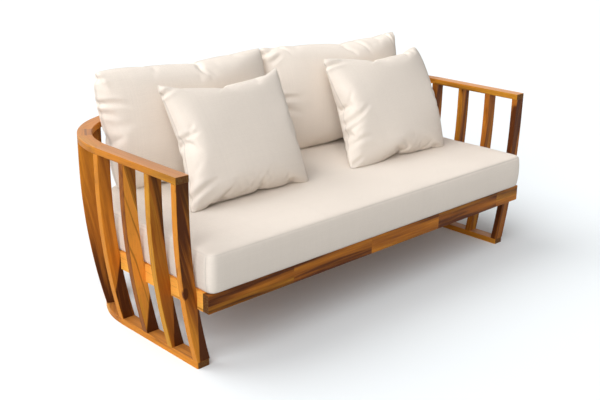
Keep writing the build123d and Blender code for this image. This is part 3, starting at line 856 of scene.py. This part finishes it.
def apply_modifier(piece, modifier):
    """Keeps a piece's mesh as the modifier makes it, and takes the modifier away."""
    made = bpy.data.meshes.new_from_object(piece.evaluated_get(bpy.context.evaluated_depsgraph_get()))
    piece.modifiers.remove(modifier)
    piece.data = made


def simulate(piece, form):
    """Fills a piece by pressure with Blender's Cloth, and keeps the result as its mesh."""
    scene = bpy.context.scene
    cloth = piece.modifiers.new("Fill", "CLOTH")
    settings = cloth.settings
    settings.quality = STEPS_PER_FRAME
    settings.mass = VERTEX_MASS
    settings.tension_stiffness = form["stiffness"]
    settings.compression_stiffness = form["stiffness"]
    settings.shear_stiffness = form["stiffness"] / 3
    settings.bending_stiffness = form["bending"]
    settings.air_damping = AIR_DAMPING
    settings.use_pressure = True
    settings.uniform_pressure_force = form["pressure"]
    settings.effector_weights.gravity = 0.0
    cloth.collision_settings.use_collision = False
    cloth.point_cache.frame_start = 1
    cloth.point_cache.frame_end = form["frames"]
    for number in range(1, form["frames"] + 1):
        scene.frame_set(number)
    apply_modifier(piece, cloth)
    scene.frame_set(1)


def linked(name, data):
    """A new object in the scene, at the origin, for a mesh, a camera or a lamp."""
    thing = bpy.data.objects.new(name, data)
    bpy.context.scene.collection.objects.link(thing)
    return thing


def mesh_of(piece):
    """A piece's mesh as a bmesh, to be worked on."""
    bm = bmesh.new()
    bm.from_mesh(piece.data)
    return bm


def put_back(bm, mesh):
    """Puts a bmesh into a mesh."""
    bm.to_mesh(mesh)
    bm.free()
    return mesh


def new_piece(name, bm):
    """An object at the origin from a bmesh."""
    return linked(name, put_back(bm, bpy.data.meshes.new(name)))


def fit_to_size(bm, form):
    """Scales a filled cushion so that its corners and faces reach their sizes."""
    ends = [max(bm.verts, key=lambda v: v.co.x * x + v.co.y * y).co for x in (-1, 1) for y in (-1, 1)]
    if form["pointed"]:
        reach_x = sum(abs(end.x) for end in ends) / 4
        reach_y = sum(abs(end.y) for end in ends) / 4
    else:
        reach_x = max(abs(v.co.x) for v in bm.verts)
        reach_y = max(abs(v.co.y) for v in bm.verts)
    reach_front = max(v.co.z for v in bm.verts)
    reach_rear = -min(v.co.z for v in bm.verts)
    for v in bm.verts:
        v.co.x *= form["width"] / 2 / reach_x
        v.co.y *= form["height"] / 2 / reach_y
        v.co.z *= form["front"] / reach_front if v.co.z > 0 else form["rear"] / reach_rear


def blend_in(value, low, high):
    """Rises smoothly from 0 at a low value to 1 at a high one."""
    share = min(max((value - low) / (high - low), 0.0), 1.0)
    return share * share * (3 - 2 * share)


# A fold sets in before its start and runs out past its end, in shares of its length
FOLD_BEFORE = -0.25
FOLD_DEEPEST = (0.08, 0.3)
FOLD_PAST = 1.2
# Its ridges stand this many of its widths from its middle, and it presses nothing behind this depth
RIDGE_PLACE = 1.9
FOLD_REACH = 4
FOLD_REAR = -0.01


def press_fold(bm, line):
    """Presses a fold into a cushion's front: a groove along a line between two low ridges."""
    run = line["end"] - line["start"]
    sideways = Vector((-run.y, run.x)).normalized()
    for vert in bm.verts:
        spot = vert.co.xy - line["start"]
        share = spot.dot(run) / run.length_squared
        if vert.co.z < FOLD_REAR or not FOLD_BEFORE < share < FOLD_PAST:
            continue
        off = (spot.dot(sideways) - line["bow"] * 4 * share * (1 - share)) / line["width"]
        if abs(off) < FOLD_REACH:
            set_in = blend_in(share, FOLD_BEFORE, FOLD_DEEPEST[0])
            strength = set_in * (1 - blend_in(share, FOLD_DEEPEST[1], FOLD_PAST))
            groove = math.exp(-off * off) - 0.5 * math.exp(-((abs(off) - RIDGE_PLACE) ** 2))
            vert.co -= vert.normal * line["depth"] * strength * groove


def subdivide(piece):
    """Makes a piece's mesh finer and rounder."""
    subdivision = piece.modifiers.new("Finer", "SUBSURF")
    subdivision.levels = 1
    subdivision.render_levels = 1
    apply_modifier(piece, subdivision)


def mark_seam(bm):
    """Marks the vertices of the sewn edges for the cloth's material, which paints shade along them."""
    sewn = bm.edges.layers.int.get("sewn")
    seam = bm.verts.layers.float.new("seam")
    for edge in bm.edges:
        if edge[sewn]:
            for vert in edge.verts:
                vert[seam] = 1.0


# A cushion's foot is pressed flat where it would sink into the seat, but for this share of its depth
SUNK_SHARE = 0.02


def leaning_cushion(name, form):
    """One sewn cushion, filled, placed and finished."""
    spot = LEANING[name]
    form = {**form, "bulge": spot["bulge"], "corner_cuts": spot["corner_cuts"]}
    piece = new_piece(name + "_cover", envelope(form))
    simulate(piece, form)
    subdivide(piece)
    bm = mesh_of(piece)
    fit_to_size(bm, form)
    for line in spot["folds"]:
        bm.normal_update()
        press_fold(bm, line)
    mark_seam(bm)
    for vert in bm.verts:
        share = vert.co.y / form["height"] * 2
        vert.co.x = vert.co.x * (1 + spot["taper"] * share) + spot["slump"] * vert.co.y
    plane = seam_plane(name)
    bmesh.ops.transform(bm, matrix=plane, verts=bm.verts)
    for vert in bm.verts:
        below = REST_HEIGHT - vert.co.z
        if below > 0:
            vert.co.z = REST_HEIGHT + below * SUNK_SHARE
    put_back(bm, piece.data)
    finish_cover(piece, name, plane.to_euler("XYZ"), Vector(spot["middle"]))


def finish_cover(piece, body, turn, middle):
    """Shades a cushion's cover smooth, gives it its cloth and says what it stands for."""
    for face in piece.data.polygons:
        face.use_smooth = True
    dress(piece, cloth_material(body, turn, middle))
    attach(piece, body)
    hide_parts(body)


class LOVESEAT_OT_make_back_cushions(Operator):
    """Make the two back cushions"""
    bl_idname = "loveseat.make_back_cushions"
    bl_label = "Make back cushions"

    def execute(self, context):
        back = context.scene.loveseat_back
        form = {
            "width": back.width, "height": back.height, "cut": (back.width, back.height), "cell": back.cell,
            "front": back.front_fullness, "rear": back.rear_fullness, "squareness": 2.7, "first_fill": 0.8,
            "pressure": 4.0, "frames": 12, "stiffness": 14.0, "bending": 3.0, "pointed": False,
        }
        for name in ("back_cushion_left", "back_cushion_right"):
            leaning_cushion(name, form)
        return {"FINISHED"}


class LOVESEAT_OT_make_throw_pillows(Operator):
    """Make the two throw pillows"""
    bl_idname = "loveseat.make_throw_pillows"
    bl_label = "Make throw pillows"

    def execute(self, context):
        pillow = context.scene.loveseat_pillow
        form = {
            "width": pillow.width, "height": pillow.height, "front": pillow.fullness, "rear": pillow.fullness,
            "cut": (pillow.width * 1.034, pillow.height * 1.05), "squareness": 2.0,
            "first_fill": 0.3, "cell": pillow.cell, "pressure": 5.0,
            "frames": 16, "stiffness": 12.0, "bending": 0.6, "pointed": True,
        }
        for name in ("throw_pillow_left", "throw_pillow_right"):
            leaning_cushion(name, form)
        return {"FINISHED"}


def cut_loops(bm, spot, normal, gap, chosen):
    """Cuts three close loops through the chosen faces along a plane, for a seam."""
    for offset in (-gap, 0.0, gap):
        faces = [f for f in bm.faces if chosen(f)]
        geometry = [*{v for f in faces for v in f.verts}, *{e for f in faces for e in f.edges}, *faces]
        bmesh.ops.bisect_plane(
            bm, geom=geometry, plane_co=spot + normal * offset, plane_no=normal, dist=gap / 10)


def remesh(piece, cell):
    """Makes a piece's mesh again in even cells."""
    cells = piece.modifiers.new("Cells", "REMESH")
    cells.mode = "VOXEL"
    cells.voxel_size = cell
    apply_modifier(piece, cells)


# The seat's level seams run this far inside the border's ends, and its corner seams stand this far over
SEAM_INSET = 0.003
CORNER_SEAM_SLANT = 0.35
# Faces this close to a seam's level or to a corner are cut for it
LEVEL_REACH = 0.02
CORNER_REACH = 0.03
# How far the border puckers along its seams, more at its ends, and how uneven the crown is
PUCKER = 0.0014
END_PUCKER_RATIO = 2.6
CROWN_WAVE = 0.003


def level_seam_weight(x):
    """How much of its full depth, and of the shade painted along it, a level seam has: it is pulled tighter
    towards the right.
    """
    return 0.5 + 0.4 * blend_in(x, -0.3, 0.4)


def sew_seat(bm, seat, low, high):
    """Pulls the level seams and the corner seams into the seat cushion, with puckers beside them."""
    gap = seat.seam_depth * 1.6
    levels = (low.z + SEAM_INSET, low.z + seat.seam_height - SEAM_INSET)
    for level in levels:
        cut_loops(
            bm, HIGH * level, HIGH, gap, lambda f: abs(f.calc_center_median().z - level) < LEVEL_REACH)
    corners = []
    for side in (-1, 1):
        corner = Vector((side * high.x, low.y + seat.front_radius, 0.0))
        way = Vector((side * CORNER_SEAM_SLANT, 1.0, 0.0)).normalized()
        corners.append((corner, way))
        cut_loops(
            bm, corner, way, gap, lambda f: (f.calc_center_median().xy - corner.xy).length < CORNER_REACH)
    bm.normal_update()
    seam = bm.verts.layers.float.new("seam")
    for vert in bm.verts:
        spot = vert.co.copy()
        upright = 1 - abs(vert.normal.z)
        pulled = 0.0
        for level in levels:
            close = math.exp(-((spot.z - level) / gap) ** 2)
            pulled = max(pulled, level_seam_weight(spot.x) * close * blend_in(upright, 0.15, 0.4))
        for corner, way in corners:
            if (spot.xy - corner.xy).length < CORNER_REACH and levels[0] < spot.z < levels[1]:
                close = math.exp(-((spot - corner).dot(way) / gap) ** 2)
                pulled = max(pulled, close * blend_in(upright, 0.4, 0.8))
        # The seam mark also sets how much shade the cloth's material paints there
        vert[seam] = pulled
        from_seam = min(abs(spot.z - level) for level in levels)
        ratio = END_PUCKER_RATIO if abs(spot.x) > high.x - CORNER_REACH else 1.0
        wave = noise.noise(Vector((spot.x * 22, spot.y * 22, spot.z * 5)))
        pucker = wave * PUCKER * ratio * upright * math.exp(-from_seam / 0.03)
        soft = noise.noise(spot * 5.0) * CROWN_WAVE * blend_in(spot.z, sum(levels) / 2, high.z)
        vert.co += vert.normal * (pucker + soft - pulled * seat.seam_depth)


class LOVESEAT_OT_make_seat_cushion(Operator):
    """Make the long seat cushion"""
    bl_idname = "loveseat.make_seat_cushion"
    bl_label = "Make seat cushion"

    def execute(self, context):
        seat = context.scene.loveseat_seat
        bm = mesh_of(NODES["seat_cushion"])
        bmesh.ops.remove_doubles(bm, verts=bm.verts, dist=0.00001)
        piece = new_piece("seat_cushion_cover", bm)
        remesh(piece, seat.cell)
        bm = mesh_of(piece)
        for _ in range(3):
            bmesh.ops.smooth_vert(
                bm, verts=bm.verts, factor=0.5, use_axis_x=True, use_axis_y=True, use_axis_z=True)
        sew_seat(bm, seat, *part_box("seat_cushion"))
        put_back(bm, piece.data)
        finish_cover(piece, "seat_cushion", (0.0, 0.0, 0.0), (0.0, 0.0, 0.0))
        return {"FINISHED"}


WHITE = (1.0, 1.0, 1.0, 1.0)


def make_camera(stage):
    """The camera at the photograph's view."""
    turn, dip, roll = stage.camera_turn, stage.camera_dip, stage.camera_roll
    ahead = Vector((math.sin(turn) * math.cos(dip), math.cos(turn) * math.cos(dip), -math.sin(dip)))
    right = Vector((math.cos(turn), -math.sin(turn), 0.0))
    up = right.cross(ahead)
    tilted_right = right * math.cos(roll) + up * math.sin(roll)
    tilted_up = up * math.cos(roll) - right * math.sin(roll)
    data = bpy.data.cameras.new("Camera")
    data.sensor_width = SENSOR_WIDTH
    data.lens = stage.focal_pixels * SENSOR_WIDTH / PHOTO_WIDTH
    data.clip_end = VIEW_REACH
    camera = linked("Camera", data)
    rotation = Matrix((tilted_right, tilted_up, -ahead)).transposed().to_4x4()
    camera.matrix_world = Matrix.Translation(stage.camera_place) @ rotation
    return camera


def make_floor(stage):
    """A plain floor, white to the camera and greyer to the light that it passes on."""
    bm = bmesh.new()
    bmesh.ops.create_grid(bm, x_segments=1, y_segments=1, size=stage.floor_size / 2)
    floor = new_piece("floor", bm)
    material, graph, shader = new_material("Floor")
    shader.inputs["Roughness"].default_value = 0.9
    shader.inputs["Specular IOR Level"].default_value = 0.0
    seen = graph.seen_directly()
    tone = graph.blend(seen, opaque(stage.floor_bounce), opaque(stage.floor_tone))
    graph.feed(shader.inputs["Base Color"], tone)
    shader.inputs["Emission Color"].default_value = WHITE
    graph.feed(shader.inputs["Emission Strength"], graph.times(seen, stage.floor_lift))
    dress(floor, material)


def make_sky(stage):
    """Faint light from all round, stronger from above, before a white backdrop."""
    world = bpy.data.worlds.new("Sky")
    world.use_nodes = True
    world.node_tree.nodes.clear()
    graph = Graph(world.node_tree)
    backdrop = graph.add("ShaderNodeBackground")
    height = graph.split(graph.add("ShaderNodeTexCoord").outputs["Generated"])[2]
    rim, top = stage.sky_level * stage.sky_rim, stage.sky_level * stage.sky_top
    level = graph.mix(graph.seen_directly(), graph.ramp(height, 0.0, 1.0, rim, top), 1.0)
    graph.feed(backdrop.inputs["Strength"], level)
    backdrop.inputs["Color"].default_value = WHITE
    graph.feed(graph.add("ShaderNodeOutputWorld").inputs[0], backdrop.outputs[0])
    return world


def make_lamp(name, strength, way, spread):
    """A soft sun that shines from one way."""
    lamp = bpy.data.lights.new(name, "SUN")
    lamp.energy = strength
    lamp.angle = spread
    linked(name, lamp).matrix_world = Vector(way).to_track_quat("Z", "Y").to_matrix().to_4x4()


class LOVESEAT_OT_make_stage(Operator):
    """Make the floor, the light and the camera at the photograph's view"""
    bl_idname = "loveseat.make_stage"
    bl_label = "Make stage"

    def execute(self, context):
        scene = context.scene
        stage = scene.loveseat_stage
        scene.camera = make_camera(stage)
        make_floor(stage)
        scene.world = make_sky(stage)
        make_lamp("Key", stage.key_level, stage.key_way, stage.light_spread)
        make_lamp("Rear", stage.rear_level, stage.rear_way, stage.light_spread)
        scene.view_settings.view_transform = "Standard"
        return {"FINISHED"}


class LOVESEAT_PT_panel(Panel):
    """Lists the steps that make the loveseat"""
    bl_idname = "LOVESEAT_PT_panel"
    bl_label = "Loveseat"
    bl_space_type = "VIEW_3D"
    bl_region_type = "UI"
    bl_category = "Loveseat"

    def draw(self, context):
        for operator in OPERATORS:
            self.layout.operator(operator.bl_idname)


SETTINGS = {
    "loveseat_stage": LoveseatStageSettings,
    "loveseat_wood": LoveseatWoodSettings,
    "loveseat_cloth": LoveseatClothSettings,
    "loveseat_pillow": LoveseatPillowSettings,
    "loveseat_back": LoveseatBackSettings,
    "loveseat_seat": LoveseatSeatSettings,
}
OPERATORS = (
    LOVESEAT_OT_make_stage,
    LOVESEAT_OT_finish_rails,
    LOVESEAT_OT_finish_slats,
    LOVESEAT_OT_finish_seat_frame,
    LOVESEAT_OT_finish_fasteners,
    LOVESEAT_OT_make_seat_cushion,
    LOVESEAT_OT_make_back_cushions,
    LOVESEAT_OT_make_throw_pillows,
)
CLASSES = (*SETTINGS.values(), *OPERATORS, LOVESEAT_PT_panel)


def register():
    for group in CLASSES:
        bpy.utils.register_class(group)
    for label, group in SETTINGS.items():
        setattr(bpy.types.Scene, label, PointerProperty(type=group))


def unregister():
    for label in SETTINGS:
        delattr(bpy.types.Scene, label)
    for group in reversed(CLASSES):
        bpy.utils.unregister_class(group)


def main():
    register()
    for operator in OPERATORS:
        getattr(bpy.ops.loveseat, operator.bl_idname.removeprefix("loveseat."))()


if __name__ == "__main__":
    main()
